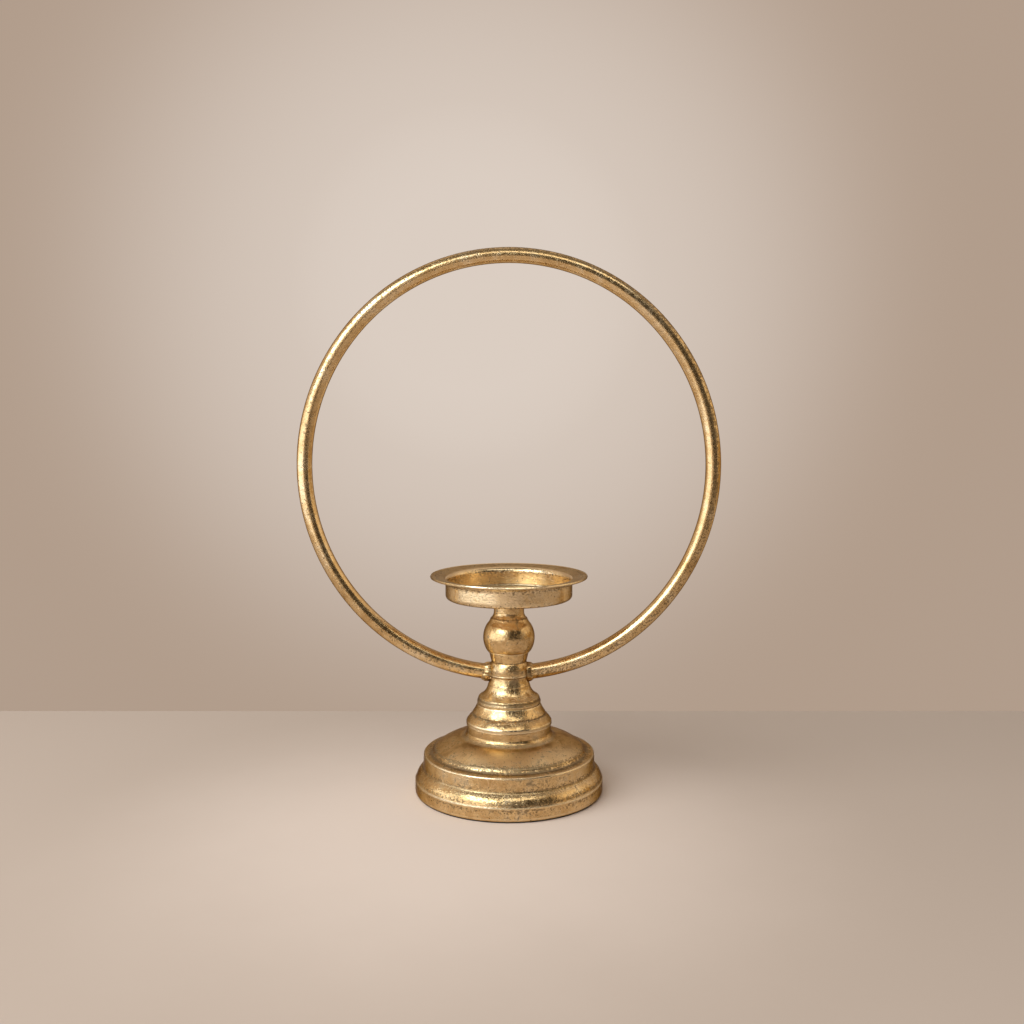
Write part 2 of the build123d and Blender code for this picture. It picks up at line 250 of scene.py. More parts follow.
class CandleRingStage(bpy.types.PropertyGroup):
    """Floor, backdrop, soft light and camera."""

    # Painted pool of light: the floor colour round the foot, and the far colour away from it.
    floor: colour("Floor", 0.75, 0.665, 0.61, "Plain pale floor")
    floor_far: colour("Floor far off", 0.54, 0.465, 0.41, "Plain pale floor away from the foot")
    room: colour("Room", 0.74, 0.585, 0.44, "Plain room beside and behind the camera")
    # Backdrop and glow are painted shade and painted light on the world: a darker ring round a
    # bright glow behind the hoop.
    backdrop: colour("Backdrop", 0.44, 0.335, 0.26, "Plain backdrop")
    glow: colour("Backdrop glow", 0.71, 0.615, 0.54, "Backdrop behind the hoop")
    soft_light: colour("Soft light", 0.62, 0.54, 0.46, "Light that comes from all sides")
    floor_end: size("Floor end", 188.5, "Where the floor meets the backdrop")
    camera_side: size("Camera side", 2.0, "Camera's place along X")
    camera_back: size("Camera back", 742.5, "Camera's distance in front of the stem")
    camera_height: size("Camera height", 263.6, "Camera's height over the floor")
    lens: FloatProperty(
        name="Lens",
        description="Focal length in millimetres",
        default=40.49,
        min=1.0,
    )
    pitch: FloatProperty(
        name="Pitch",
        description="How far the camera looks down",
        default=math.radians(6.004),
        subtype="ANGLE",
        unit="ROTATION",
    )


class CandleRingSettings(bpy.types.PropertyGroup):
    """All sizes and colours of the candle ring."""

    foot: PointerProperty(type=CandleRingFoot)
    stem: PointerProperty(type=CandleRingStem)
    pan: PointerProperty(type=CandleRingPan)
    hoop: PointerProperty(type=CandleRingHoop)
    fixings: PointerProperty(type=CandleRingFixings)
    finish: PointerProperty(type=CandleRingFinish)
    stage: PointerProperty(type=CandleRingStage)
    turns: IntProperty(
        name="Turning steps",
        description="Steps round a turned piece",
        default=144,
        min=24,
    )
    spacing: size("Spacing", 0.7, "Distance between points along an outline")
    edge: size("Edge", 0.35, "Rounding of a turned edge")


def settings():
    """The sizes and colours in this file's scene."""
    return bpy.context.scene.candle_ring


def spin_round(mesh, geometry, axis, steps):
    """Spins points and edges once round an axis through the origin."""
    bmesh.ops.spin(
        mesh,
        geom=geometry,
        cent=(0.0, 0.0, 0.0),
        axis=axis,
        angle=2 * math.pi,
        steps=steps,
        use_merge=True,
    )


def draw_circle(mesh, segments, radius, matrix):
    """Draws a circle and returns its points and edges, ready to be spun."""
    made = bmesh.ops.create_circle(mesh, segments=segments, radius=radius, matrix=matrix)["verts"]
    return list(made) + list({edge for point in made for edge in point.link_edges})


class Outline:
    """A turned outline, drawn in the XZ plane from point to point and spun round the Z axis."""

    corner_segments = 4
    fewest_arc_steps = 4
    smoothing_rounds = 14
    merge_distance = 0.001 * MM
    relief_unit = 0.1 * MM

    def __init__(self, radius, height):
        self.mesh = bmesh.new()
        layers = self.mesh.verts.layers.float
        for name in ("soft_out", "soft_up", "relief", "soil_and_shade"):
            layers.new(name)
        self.spacing = settings().spacing
        self.corners = []
        self.soiled = []
        self.start = self.mesh.verts.new((radius, 0.0, height))
        self.tip = self.start

    def line(self, out, up, rounding=0.0):
        """Draws a straight line, outwards and upwards, and may round the corner at its end."""
        place = self.tip.co + Vector((out, 0.0, up))
        self.tip = bmesh.ops.extrude_vert_indiv(self.mesh, verts=[self.tip])["verts"][0]
        self.tip.co = place
        self.keep_corner(rounding)

    def line_to(self, radius, height, rounding=0.0):
        """Draws a straight line to a place, and may round the corner there."""
        self.line(radius - self.tip.co.x, height - self.tip.co.z, rounding)

    def lines_to(self, *places):
        """Draws straight lines from place to place."""
        for place in places:
            self.line_to(*place)

    def step_to(self, radius, rounding=0.0):
        """Draws a level line to a radius."""
        self.line(radius - self.tip.co.x, 0.0, rounding)

    def arc(self, out, up, bulge, rounding=0.0):
        """Draws an arc that swells to the right of its way, or to the left if bulge is negative."""
        chord = Vector((out, 0.0, up))
        start, half, rise = self.tip.co.copy(), chord.length / 2, abs(bulge)
        radius = (half * half + rise * rise) / (2 * rise)
        sense = math.copysign(1.0, bulge)
        side = Vector((up, 0.0, -out)).normalized() * sense
        angle = 4 * math.atan2(rise, half)
        made = bmesh.ops.spin(
            self.mesh,
            geom=[self.tip],
            cent=start + chord / 2 - side * (radius - rise),
            axis=(0.0, -sense, 0.0),
            angle=angle,
            steps=max(self.fewest_arc_steps, math.ceil(angle * radius / self.spacing)),
        )
        self.tip = next(v for v in made["geom_last"] if isinstance(v, bmesh.types.BMVert))
        self.tip.co = start + chord
        self.keep_corner(rounding)

    def arc_to(self, radius, up, bulge, rounding=0.0):
        """Draws an arc to a radius."""
        self.arc(radius - self.tip.co.x, up, bulge, rounding)

    def keep_corner(self, rounding):
        """Notes that the corner at the tip is to be rounded."""
        if rounding:
            self.corners.append((self.tip, rounding))

    def soil_and_shade(self, amount, reach):
        """Notes brown marks for some millimetres round the tip, or a lip that rubbing has made
        bright if negative; most marks are patina in grooves, some are painted shade.
        """
        self.soiled.append((self.tip.co.copy(), amount, reach * MM))

    def round_corners(self):
        """Rounds the corners that were noted, one size after another."""
        for rounding in sorted({amount for _, amount in self.corners}):
            bmesh.ops.bevel(
                self.mesh,
                geom=[corner for corner, amount in self.corners if amount == rounding],
                offset=rounding,
                offset_type="OFFSET",
                segments=self.corner_segments,
                profile=0.5,
                affect="VERTICES",
                material=-1,
                clamp_overlap=True,
            )

    def even_out(self):
        """Divides long edges, so that no two points lie far apart."""
        long_edges = {}
        for edge in self.mesh.edges:
            long_edges.setdefault(int(edge.calc_length() / self.spacing), []).append(edge)
        for cuts, edges in long_edges.items():
            if cuts:
                bmesh.ops.subdivide_edges(self.mesh, edges=edges, cuts=cuts)

    def note_relief(self):
        """Notes how far each point lies from where it is on a smoothed outline."""
        soft = self.mesh.copy()
        axes = {"use_axis_x": True, "use_axis_y": True, "use_axis_z": True}
        for _ in range(self.smoothing_rounds):
            bmesh.ops.smooth_vert(soft, verts=soft.verts[:], factor=0.5, **axes)
        layers = self.mesh.verts.layers.float
        out, up = layers["soft_out"], layers["soft_up"]
        for point, smoothed in zip(self.mesh.verts, soft.verts):
            point[out] = point.co.x - smoothed.co.x
            point[up] = point.co.z - smoothed.co.z
        soft.free()

    def note_soil(self):
        """Notes how soiled each point is, with painted shade, or how far rubbing has brightened it.
        """
        soil_and_shade = self.mesh.verts.layers.float["soil_and_shade"]
        for place, amount, reach in sorted(self.soiled, key=lambda mark: -mark[1]):
            stronger = min if amount < 0.0 else max
            for point in self.mesh.verts:
                near = 1.0 - (point.co - place).length / reach
                if near > 0.0:
                    point[soil_and_shade] = stronger(point[soil_and_shade], amount * near)

    def turn(self):
        """Closes the outline, spins it into a skin and returns that as a bmesh."""
        mesh = self.mesh
        mesh.edges.new((self.tip, self.start))
        self.round_corners()
        self.even_out()
        self.note_relief()
        self.note_soil()
        spin_round(mesh, mesh.verts[:] + mesh.edges[:], (0.0, 0.0, 1.0), settings().turns)
        bmesh.ops.remove_doubles(mesh, verts=mesh.verts[:], dist=self.merge_distance)
        bmesh.ops.recalc_face_normals(mesh, faces=mesh.faces[:])
        mesh.normal_update()
        layers = mesh.verts.layers.float
        out, up, relief = layers["soft_out"], layers["soft_up"], layers["relief"]
        for vert in mesh.verts:
            way = vert.co.xy
            outward = way.normalized().dot(vert.normal.xy) if way.length else 0.0
            proud = vert[out] * outward + vert[up] * vert.normal.z
            vert[relief] = proud / self.relief_unit
        return mesh


class Nodes:
    """The nodes of a material or of the world, with short calls for those that are needed."""

    def __init__(self, owner):
        owner.use_nodes = True
        self.nodes = owner.node_tree.nodes
        self.links = owner.node_tree.links
        self.nodes.clear()

    def add(self, kind, options=None, **sockets):
        """Adds a node, links the sockets that are given a socket and sets the others."""
        made = self.nodes.new(kind)
        for key, value in (options or {}).items():
            setattr(made, key, value)
        for key, value in sockets.items():
            self.give(made.inputs[key], value)
        return made

    def give(self, socket, value):
        """Links a socket, or sets its value."""
        if isinstance(value, bpy.types.NodeSocket):
            self.links.new(value, socket)
        else:
            socket.default_value = value

    def combine(self, operation, first, second, kind="ShaderNodeMath", **options):
        """Two values, or two vectors, put together as one value."""
        made = self.add(kind, {"operation": operation, **options})
        self.give(made.inputs[0], first)
        self.give(made.inputs[1], second)
        return made.outputs["Value"]

    def measure(self, operation, first, second):
        """Two vectors put together as one value."""
        return self.combine(operation, first, second, "ShaderNodeVectorMath")

    def times(self, first, second):
        """One value times another."""
        return self.combine("MULTIPLY", first, second)

    def plus(self, first, second):
        """One value added to another."""
        return self.combine("ADD", first, second)

    def most(self, first, second, **options):
        """The larger of two values."""
        return self.combine("MAXIMUM", first, second, **options)

    def rest(self, value):
        """What a value lacks of one."""
        return self.combine("SUBTRACT", 1.0, value)

    def share(self, first, second, part):
        """A part of the first value, and for the rest the second."""
        return self.plus(self.times(first, part), self.times(second, 1.0 - part))


class Finish(Nodes):
    """A node material on object coordinates."""

    def __init__(self, name):
        self.material = bpy.data.materials.new(name)
        super().__init__(self.material)
        self.surface = self.add("ShaderNodeBsdfPrincipled")
        self.add("ShaderNodeOutputMaterial", Surface=self.surface.outputs["BSDF"])
        coordinates = self.add("ShaderNodeTexCoord")
        self.place = coordinates.outputs["Object"]
        self.facing = coordinates.outputs["Normal"]

    def layer(self, name):
        """A value that the mesh carries."""
        return self.add("ShaderNodeAttribute", {"attribute_name": name}).outputs["Fac"]

    def cloud(self, scale, detail, roughness=0.5, distortion=0.0):
        """A soft noise, about 0 to 1."""
        made = self.add(
            "ShaderNodeTexNoise",
            Vector=self.place,
            Scale=scale,
            Detail=detail,
            Roughness=roughness,
            Distortion=distortion,
        )
        return made.outputs["Fac"]

    def threads(self, scale, width, distortion):
        """Thin winding lines, 1 on a line and 0 beside it."""
        off = self.plus(self.cloud(scale, 2.0, distortion=distortion), -0.5)
        return self.between(self.times(off, off), width * width, 0.1 * width * width)

    def between(self, value, low, high, start=0.0, end=1.0):
        """A value read from low to high, smoothly, as a value from start to end."""
        made = self.add("ShaderNodeMapRange", {"interpolation_type": "SMOOTHSTEP"}, Value=value)
        limits = {"From Min": low, "From Max": high, "To Min": start, "To Max": end}
        for key, limit in limits.items():
            made.inputs[key].default_value = limit
        return made.outputs["Result"]

    def blend(self, amount, first, second):
        """One colour over another, by the colour sockets of a mix node."""
        made = self.add("ShaderNodeMix", {"data_type": "RGBA"}, Factor=amount)
        under, over = (socket for socket in made.inputs if socket.type == "RGBA")
        self.give(under, first)
        self.give(over, second)
        return next(socket for socket in made.outputs if socket.type == "RGBA")

    def shape(self, height, strength, distance):
        """Gives the surface its bumps."""
        made = self.add("ShaderNodeBump", Height=height, Strength=strength, Distance=distance)
        self.set(Normal=made.outputs["Normal"])

    def set(self, **sockets):
        """Sets or links the surface's own sockets."""
        for key, value in sockets.items():
            self.give(self.surface.inputs[key.replace("_", " ")], value)


def gilt(name, colours, wear=0.0, crease=1.0, pale=0.0, varnish="varnish"):
    """Antique gold leaf: crumpled leaf, brown washes in the grooves, brown glazing with painted
    shade on top, bright edges, painted light and painted dark reflection towards the room.

    Wear spreads the brown wash, crease deepens the crumples and pale lightens the leaf.
    """
    look = Finish(name)
    relief = look.layer("relief")
    gathered_and_shade = look.layer("soil_and_shade")
    upward = look.add("ShaderNodeSeparateXYZ", Vector=look.facing).outputs["Z"]
    front = look.measure("DOT_PRODUCT", look.facing, ROOM_WAY)
    broad = look.cloud(30.0, 3.0)
    patch = look.cloud(110.0, 6.0, 0.62, 0.7)
    flecks = look.cloud(480.0, 6.0, 0.72)
    grain = look.cloud(900.0, 2.0, 0.6)
    crumple = look.cloud(400.0, 3.0, distortion=1.4)
    folds = look.threads(280.0, width=0.030, distortion=1.2)
    hairs = look.threads(55.0, width=0.006, distortion=1.0)

    # The leaf, from deep to pale.
    tone = look.share(broad, patch, 0.4)
    leaf = look.blend(look.between(tone, 0.38 - pale, 0.54 - pale), colours.leaf_deep, colours.leaf)
    leaf = look.blend(look.between(tone, 0.52 - pale, 0.68 - pale), leaf, colours.leaf_pale)

    # Rubbed edges; on faces that look up, brown glaze that is partly painted shade of the dim
    # ceiling; towards the room, painted light in the rubbed colour in its place.
    edges = look.times(look.between(relief, 1.6, 4.2), look.between(upward, -0.35, 0.0))
    edges = look.most(edges, look.between(gathered_and_shade, -0.1, -0.5))
    edges = look.times(edges, look.between(flecks, 0.32, 0.60, 0.35, 1.0))
    flat = look.between(upward, 0.55, 0.97)
    # Painted light: up-facing faces towards the room take the rubbed colour in place of the glaze.
    painted_room_light = look.times(flat, look.between(front, 0.12, 0.40))
    # Glaze on faces that look up is partly real and partly painted shade of the dim ceiling these
    # faces mirror.
    glaze_and_top_shade = look.times(flat, look.between(patch, 0.34, 0.54, 0.34, 0.08))
    glaze_and_top_shade = look.times(glaze_and_top_shade, look.rest(look.most(edges, painted_room_light)))

    # Brown wash in patches and in the grooves; patina, and painted shade, where the mesh marks it;
    # and a little painted dark reflection on faces that look straight towards the room.
    wash_and_shade = look.plus(look.share(patch, flecks, 0.5), look.between(front, 0.80, 0.97, 0.0, 0.06))
    wash_and_shade = look.between(wash_and_shade, 0.545 - wear, 0.65 - wear)
    wash_and_shade = look.times(wash_and_shade, look.between(broad, 0.40, 0.60, 0.3, 1.0))
    uneven = look.plus(relief, look.between(flecks, 0.3, 0.7, -1.0, 1.0))
    grooves = look.between(uneven, -1.8, -3.4)
    wash_and_shade = look.most(wash_and_shade, look.times(grooves, look.between(flecks, 0.3, 0.6, 0.4, 0.9)))
    specked = look.share(flecks, grain, 0.5)
    gathered_and_shade = look.times(gathered_and_shade, look.between(broad, 0.38, 0.62, 0.6, 1.15))
    gathered_and_shade = look.plus(gathered_and_shade, look.between(specked, 0.35, 0.65, -0.55, 0.55))
    wash_and_shade = look.most(wash_and_shade, look.between(gathered_and_shade, 0.36, 0.60))

    # Dark pits here and there.
    pits = look.add("ShaderNodeTexVoronoi", Vector=look.place, Scale=520.0)
    chosen = look.add("ShaderNodeSeparateColor", Color=pits.outputs["Color"]).outputs["Red"]
    specks = look.between(pits.outputs["Distance"], 0.28, 0.14)
    specks = look.times(specks, look.between(chosen, 0.66, 0.74))
    specks = look.times(specks, look.between(patch, 0.46, 0.58, 0.1, 1.0))
    dark = look.most(look.times(wash_and_shade, 0.8), specks, use_clamp=True)
    dark = look.times(dark, look.rest(look.times(edges, 0.8)))

    tint = leaf
    for amount, colour_over in (
        # Painted light first; the glaze carries painted shade, and the patina colour carries
        # painted shade and dark reflection.
        (look.times(painted_room_light, 0.7), colours.rubbed_and_painted_light),
        (glaze_and_top_shade, colours.glaze_and_top_shade),
        (look.times(hairs, 0.6), colours.leaf_pale),
        (edges, colours.rubbed_and_painted_light),
        (look.times(dark, 0.85), colours.patina_and_shade),
    ):
        tint = look.blend(amount, tint, colour_over)
    dull = look.between(flecks, 0.25, 0.75, 0.13, 0.25)
    for pattern, amount in ((dark, 0.2), (flat, 0.16), (edges, -0.05)):
        dull = look.plus(dull, look.times(pattern, amount))
    height = look.times(crumple, 0.75 * crease)
    for pattern, amount in (
        (grain, 0.14),
        (flecks, 0.10),
        (folds, -0.22 * crease),
        (hairs, 0.03),
        (specks, -0.35),
    ):
        height = look.plus(height, look.times(pattern, amount))
    look.set(
        Base_Color=tint,
        Metallic=look.between(dark, 0.0, 1.0, 1.0, 0.85),
        Roughness=dull,
        Specular_Tint=getattr(colours, varnish),
        Coat_Weight=0.1,
        Coat_Roughness=0.15,
    )
    look.shape(height, 0.5, 0.35 * MM)
    return look.material


def zinc_plate(name, colours):
    """Plated steel, cloudy and a little dull."""
    look = Finish(name)
    clouds = look.cloud(160.0, 6.0, 0.6, 0.5)
    grain = look.cloud(1400.0, 3.0, 0.6)
    look.set(
        Base_Color=look.blend(look.between(clouds, 0.35, 0.65), colours.zinc_dull, colours.zinc),
        Metallic=1.0,
        Roughness=look.between(clouds, 0.3, 0.7, 0.42, 0.28),
    )
    look.shape(look.plus(clouds, look.times(grain, 0.3)), 0.15, 0.2 * MM)
    return look.material


def wool_felt(name, colours):
    """Pressed felt, with short tangled fibres."""
    look = Finish(name)
    tufts = look.cloud(700.0, 6.0, 0.7, 1.5)
    fibres = look.cloud(3200.0, 3.0, 0.7, 3.0)
    look.set(
        Base_Color=look.blend(look.between(fibres, 0.50, 0.72), colours.felt, colours.felt_pale),
        Roughness=0.95,
        Sheen_Weight=0.25,
        Sheen_Roughness=0.6,
    )
    look.shape(look.plus(tufts, look.times(fibres, 0.6)), 0.6, 0.3 * MM)
    return look.material


FINISHES = {
    "wool_felt": (wool_felt, {}),
    "zinc_plate": (zinc_plate, {}),
    "antique_gold_leaf": (gilt, {}),
    "worn_gold_leaf": (gilt, {"wear": 0.035}),
    "weld_gold_leaf": (gilt, {"wear": 0.12}),
    # Painted light: the hoop and the pan get paler copies of the leaf with less brown wash, and the
    # pan's inside a lighter varnish too, to make them brighter.
    "smooth_gold_leaf": (gilt, {"wear": -0.06, "crease": 0.45, "pale": 0.05}),
    "even_gold_leaf": (gilt, {"wear": -0.075, "crease": 0.7, "pale": 0.15}),
    "clear_gold_leaf": (
        gilt,
        {"wear": -0.07, "crease": 0.9, "pale": 0.16, "varnish": "clear_varnish"},
    ),
}


def shared(name):
    """A finish by name, made the first time that it is asked for."""
    make, options = FINISHES[name]
    return bpy.data.materials.get(name) or make(name, settings().finish, **options)


def place_piece(mesh, name, node, slot, *finishes):
    """Makes an object of a finished bmesh, in its place on the candle ring."""
    data = bpy.data.meshes.new(name)
    mesh.to_mesh(data)
    mesh.free()
    for finish in finishes:
        data.materials.append(shared(finish))
    data.shade_smooth()
    data.set_sharp_from_angle(angle=SHARP_ANGLE)
    piece = bpy.data.objects.new(name, data)
    bpy.context.scene.collection.objects.link(piece)
    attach(piece, "root")
    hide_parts(node)


def give_finish(node, finish):
    """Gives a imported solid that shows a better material."""
    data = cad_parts[node].data
    data.materials.clear()
    data.materials.append(shared(finish))


class CANDLERING_OT_felt(bpy.types.Operator):
    """Make the felt ring under the foot"""

    bl_idname = "candle_ring.felt"
    bl_label = "Felt ring"

    def execute(self, context):
        foot = settings().foot
        line = Outline(foot.radius - foot.felt_inset - foot.felt_width, 0.0)
        line.line(foot.felt_width, 0.0, foot.felt_round)
        line.line(0.0, FELT_TOP)
        line.line(-foot.felt_width, 0.0)
        line.corners.append((line.start, foot.felt_round))
        place_piece(line.turn(), "felt_ring", "base_felt", "felt", "wool_felt")
        return {"FINISHED"}


class CANDLERING_OT_foot(bpy.types.Operator):
    """Make the spun foot, from its turned-in lip to the crown"""

    bl_idname = "candle_ring.foot"
    bl_label = "Foot"

    def execute(self, context):
        foot, edge = settings().foot, settings().edge
        line = Outline(foot.radius - foot.lip, FELT_TOP)
        line.line(foot.lip, 0.0, foot.rim_round)
        line.line(0.0, foot.band_height, 1.3 * edge)
        line.soil_and_shade(-1.0, 1.0)
        line.line(-foot.quirk, 0.0, 0.3 * foot.quirk)
        line.soil_and_shade(0.9, 4.6)
        ovolo_top = foot.wall_radius + foot.wall_cove_width
        line.arc_to(ovolo_top, foot.ovolo_height, foot.ovolo_bulge)
        line.arc(-foot.wall_cove_width, foot.wall_cove_height, -foot.wall_cove_depth)
        line.soil_and_shade(0.5, 3.0)
        line.line(-foot.wall_draft, foot.wall_height, 2.8 * edge)
        line.soil_and_shade(-0.9, 1.3)
        line.arc(-foot.shoulder_width, foot.shoulder_height, foot.shoulder_bulge, edge)
        line.soil_and_shade(1.0, 3.8)
        line.arc(-foot.cove_width, foot.cove_height, -foot.cove_depth)
        line.soil_and_shade(0.9, 2.6)
        line.arc(-foot.dome_run, foot.dome_rise, foot.dome_bulge)
        line.arc_to(foot.skirt_radius, foot.flare_height, -foot.flare_depth, edge)
        line.line(0.0, foot.skirt_height, 1.4 * edge)
        line.line_to(foot.crown_radius, SKIRT_TOP)
        line.line(0.0, foot.crown_height)
        line.line_to(foot.rod_hole, SKIRT_TOP + foot.crown_height)
        self.line_inside(line, foot)
        place_piece(line.turn(), "foot_skin", "base_shell", "gilt", "antique_gold_leaf")
        return {"FINISHED"}

    def line_inside(self, line, foot):
        """Draws the inner wall, a sheet's thickness inside the outer one, from the crown down."""
        sheet = foot.sheet
        half = sheet / 2
        crown_top = SKIRT_TOP + foot.crown_height
        crown, skirt = foot.crown_radius - sheet, foot.skirt_radius - sheet
        band_top = FELT_TOP + foot.band_height
        cove_foot = band_top + foot.ovolo_height
        wall_foot = cove_foot + foot.wall_cove_height
        wall_top = wall_foot + foot.wall_height
        shoulder_top = wall_top + foot.shoulder_height
        dome_foot = shoulder_top + foot.cove_height
        wall = foot.wall_radius - foot.wall_draft
        shoulder = wall - foot.shoulder_width
        dome = shoulder - foot.cove_width
        band = foot.radius - sheet
        line.line(0.0, -sheet)
        line.lines_to(
            (crown, crown_top - sheet, half),
            (crown, SKIRT_TOP - sheet, sheet / 4),
            (skirt, SKIRT_TOP - sheet, half),
            (skirt, SKIRT_TOP - foot.skirt_height - sheet / 4),
        )
        down = dome_foot + foot.dome_rise - sheet - line.tip.co.z
        line.arc_to(dome - foot.dome_run, down, foot.flare_depth, half)
        line.lines_to(
            (dome - half, dome_foot - sheet, sheet),
            (shoulder - half, shoulder_top - sheet, sheet),
            (wall - sheet, wall_top - half, sheet),
            (foot.wall_radius - sheet, wall_foot, sheet),
            (foot.wall_radius, cove_foot - half, sheet),
            (band - foot.quirk, band_top - half, sheet),
            (band, band_top - sheet, half),
            (band, FELT_TOP + sheet, half),
            (foot.radius - foot.lip, FELT_TOP + sheet),
        )


class CANDLERING_OT_lower_stem(bpy.types.Operator):
    """Make the stepped lower stem, from the roll to the cap"""

    bl_idname = "candle_ring.lower_stem"
    bl_label = "Lower stem"

    def execute(self, context):
        stem, edge, sheet = settings().stem, settings().edge, settings().foot.sheet
        lip = stem.roll_radius - stem.foot_lip
        line = Outline(lip, SKIRT_TOP)
        line.line(stem.foot_lip, 0.0)
        line.line(0.0, stem.roll_foot, 1.7 * edge)
        line.soil_and_shade(-0.9, 1.0)
        line.arc(-stem.roll_width, stem.roll_height, stem.roll_bulge, 0.4 * edge)
        line.soil_and_shade(0.8, 2.0)
        line.step_to(stem.taper_radius - stem.groove_depth)
        line.line(0.0, stem.groove_height)
        line.line(stem.groove_depth, 0.0, 0.6 * edge)
        line.arc(-stem.taper_width, stem.taper_height, -stem.taper_sag, 0.6 * edge)
        line.soil_and_shade(0.7, 1.4)
        line.step_to(stem.bead_radius)
        line.soil_and_shade(-0.9, 1.6)
        line.arc(0.0, stem.bead_height, stem.bead_bulge)
        line.soil_and_shade(1.3, 2.2)
        line.step_to(stem.cap_radius)
        line.arc(-stem.cap_edge_width, stem.cap_edge_height, stem.cap_edge_bulge, edge)
        line.arc_to(stem.neck_radius, HUB_FOOT - line.tip.co.z, -stem.cap_sag, edge)
        line.line_to(stem.spigot_radius, HUB_FOOT)
        line.line(0.0, -sheet)
        taper_foot = SKIRT_TOP + stem.roll_foot + stem.roll_height + stem.groove_height
        taper_top = taper_foot + stem.taper_height
        line.lines_to(
            (stem.neck_radius - sheet, HUB_FOOT - sheet, sheet),
            (stem.cap_radius - 2 * sheet, taper_top + stem.bead_height, sheet),
            (stem.cap_radius - 1.2 * sheet, taper_top, sheet),
            (stem.taper_radius - 1.6 * sheet, taper_foot - sheet, sheet),
            (stem.roll_radius - 1.3 * sheet, SKIRT_TOP + sheet),
            (lip, SKIRT_TOP + sheet),
        )
        place_piece(line.turn(), "stem_skirts", "lower_stem", "gilt", "antique_gold_leaf")
        return {"FINISHED"}


class CANDLERING_OT_hub(bpy.types.Operator):
    """Make the turned hub that carries the hoop"""

    bl_idname = "candle_ring.hub"
    bl_label = "Hub"

    def execute(self, context):
        stem, edge, rod_hole = settings().stem, settings().edge, settings().foot.rod_hole
        spigot_foot = HUB_FOOT - stem.spigot_height
        line = Outline(rod_hole, spigot_foot)
        line.line_to(stem.spigot_radius, spigot_foot)
        line.line(0.0, stem.spigot_height)
        line.line_to(stem.neck_radius, HUB_FOOT, 0.5 * edge)
        line.arc_to(stem.waist_radius, stem.waist_height, -stem.waist_sag, edge)
        line.line(stem.lip_radius - stem.waist_radius, stem.lip_step, 1.2 * edge)
        line.soil_and_shade(-1.0, 1.0)
        line.line(0.0, stem.lip_height, 1.2 * edge)
        line.soil_and_shade(-1.0, 0.8)
        line.step_to(stem.collar_radius)
        line.soil_and_shade(0.7, 1.6)
        up = HUB_TOP - line.tip.co.z
        line.arc_to(stem.hub_top_radius, up, stem.collar_bulge, 0.5 * edge)
        line.line_to(stem.tail_radius, HUB_TOP)
        line.line(0.0, -stem.tail_height)
        line.line_to(rod_hole, HUB_TOP - stem.tail_height)
        place_piece(line.turn(), "hoop_hub", "ring_hub", "gilt", "worn_gold_leaf")
        return {"FINISHED"}


def hoop_arcs(hoop):
    """The hoop's centre height, the shift of its arc centres and its end arcs' radius."""
    low, high = HUB_FOOT + hoop.seat, HOOP_HIGH.z - hoop.tube_radius
    half_width = HOOP_HIGH.x - hoop.tube_radius
    half_height = (high - low) / 2
    shift = (half_height - half_width) / (2 - math.sqrt(2))
    return (low + high) / 2, shift, half_height - shift


class CANDLERING_OT_hoop(bpy.types.Operator):
    """Make the hoop, one tube bent to four tangent arcs"""

    bl_idname = "candle_ring.hoop"
    bl_label = "Hoop"

    tube_points = 40
    bend_step = math.radians(1.8)
    fewest_steps = 12

    def execute(self, context):
        hoop = settings().hoop
        centre, shift, end_arc = hoop_arcs(hoop)
        inlet = math.asin(hoop.inlet / end_arc)
        quarter = math.pi / 4
        mesh = bmesh.new()
        base = Vector((0.0, 0.0, centre - shift))
        start = Matrix.Translation(base) @ Matrix.Rotation(-inlet, 4, "Y")
        start @= Matrix.Translation((0.0, 0.0, -end_arc)) @ Matrix.Rotation(math.pi / 2, 4, "Y")
        ring = draw_circle(mesh, self.tube_points, hoop.tube_radius, start)
        bends = (
            (base, quarter - inlet),
            (Vector((-shift, 0.0, centre)), 2 * quarter),
            (Vector((0.0, 0.0, centre + shift)), 2 * quarter),
            (Vector((shift, 0.0, centre)), 2 * quarter),
            (base, quarter - inlet),
        )
        for middle, angle in bends:
            ring = bmesh.ops.spin(
                mesh,
                geom=ring,
                cent=middle,
                axis=(0.0, -1.0, 0.0),
                angle=angle,
                steps=max(self.fewest_steps, round(angle / self.bend_step)),
            )["geom_last"]
        bmesh.ops.holes_fill(mesh, edges=mesh.edges[:], sides=0)
        bmesh.ops.recalc_face_normals(mesh, faces=mesh.faces[:])
        self.soil_and_shade(mesh, centre)
        place_piece(mesh, "hoop", "ring_tube", "gilt", "smooth_gold_leaf")
        return {"FINISHED"}

    def soil_and_shade(self, mesh, centre):
        """Notes painted dark reflection along the hoop, laid on as brown marks: outside on the
        right and on top, midway left.
        """
        half_width = 0.40
        soil_and_shade = mesh.verts.layers.float.new("soil_and_shade")
        mesh.normal_update()
        for vert in mesh.verts:
            way = Vector((vert.co.x, 0.0, vert.co.z - centre)).normalized()
            # Painted dark reflection: more of it on the right and on top.
            amount = max(0.0, 0.5 + 0.22 * way.x + 0.1 * way.z)
            middle = 0.14 + 0.21 * way.x + 0.6 * max(0.0, way.z)
            off = (vert.normal.dot(way) - middle) / half_width
            vert[soil_and_shade] = amount * max(0.0, 1.0 - off**2)


